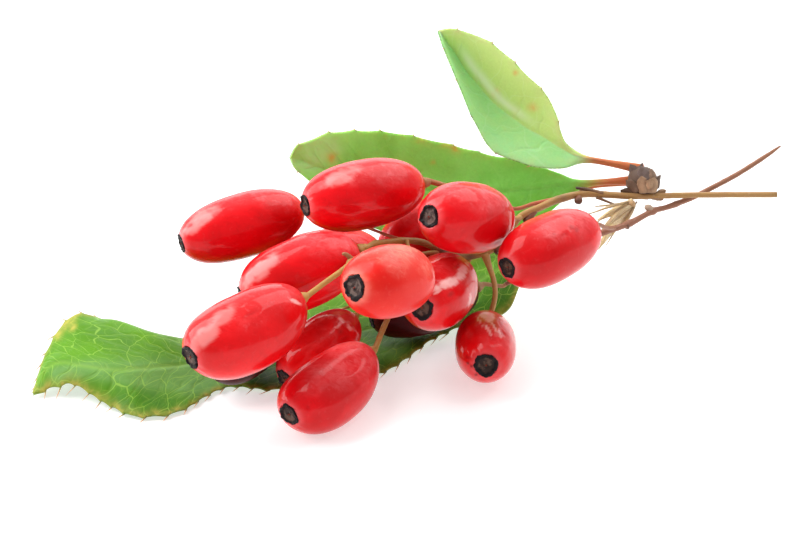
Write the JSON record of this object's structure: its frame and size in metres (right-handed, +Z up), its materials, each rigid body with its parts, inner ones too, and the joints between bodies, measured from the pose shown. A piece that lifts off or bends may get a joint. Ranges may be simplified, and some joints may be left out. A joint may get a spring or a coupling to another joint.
{
  "type": "barberry sprig",
  "caption": "Cut sprig of ripe oblong barberries on two thin stems, with spiny-edged leaves on a short woody spur, lying on a flat surface.",
  "frame": {"origin": "middle of the sprig's box from above, on the surface that it lies on", "axes": "+X along the sprig's length, from the big leaf's tip to the stems' cut ends; +Y away from the viewer; +Z up"},
  "size_m": [0.0674, 0.0348, 0.0265],
  "materials": {
    "berry_red": "gloss",
    "berry_coral": "gloss",
    "berry_dark": "gloss",
    "stigma": "matte",
    "stem_tan": "satin",
    "stem_rust": "satin",
    "spur_bark": "matte",
    "bract_straw": "matte",
    "leaf_fresh": "satin",
    "leaf_light": "satin",
    "leaf_deep": "satin"
  },
  "bodies": {
    "root": {"berry_01": "berry_red", "berry_02": "berry_red", "berry_03": "berry_red", "berry_04": "berry_red", "berry_05": "berry_coral", "berry_06": "berry_red", "berry_07": "berry_red", "berry_08": "berry_red", "berry_09": "berry_red", "berry_10": "berry_red", "berry_11": "berry_red", "berry_12": "berry_red", "berry_13": "berry_red", "berry_14": "berry_dark", "berry_15": "berry_dark", "stigma_01": "stigma", "stigma_02": "stigma", "stigma_03": "stigma", "stigma_04": "stigma", "stigma_05": "stigma", "stigma_06": "stigma", "stigma_07": "stigma", "stigma_08": "stigma", "stigma_09": "stigma", "stigma_10": "stigma", "stigma_11": "stigma", "stigma_12": "stigma", "stigma_13": "stigma", "stigma_14": "stigma", "stigma_15": "stigma", "stem_upper": "stem_tan", "stem_lower": "stem_rust", "leaf_front": "leaf_fresh", "leaf_back": "leaf_deep", "leaf_upright": "leaf_light", "spur": "spur_bark", "bracts": "bract_straw"}
  },
  "joints": []
}
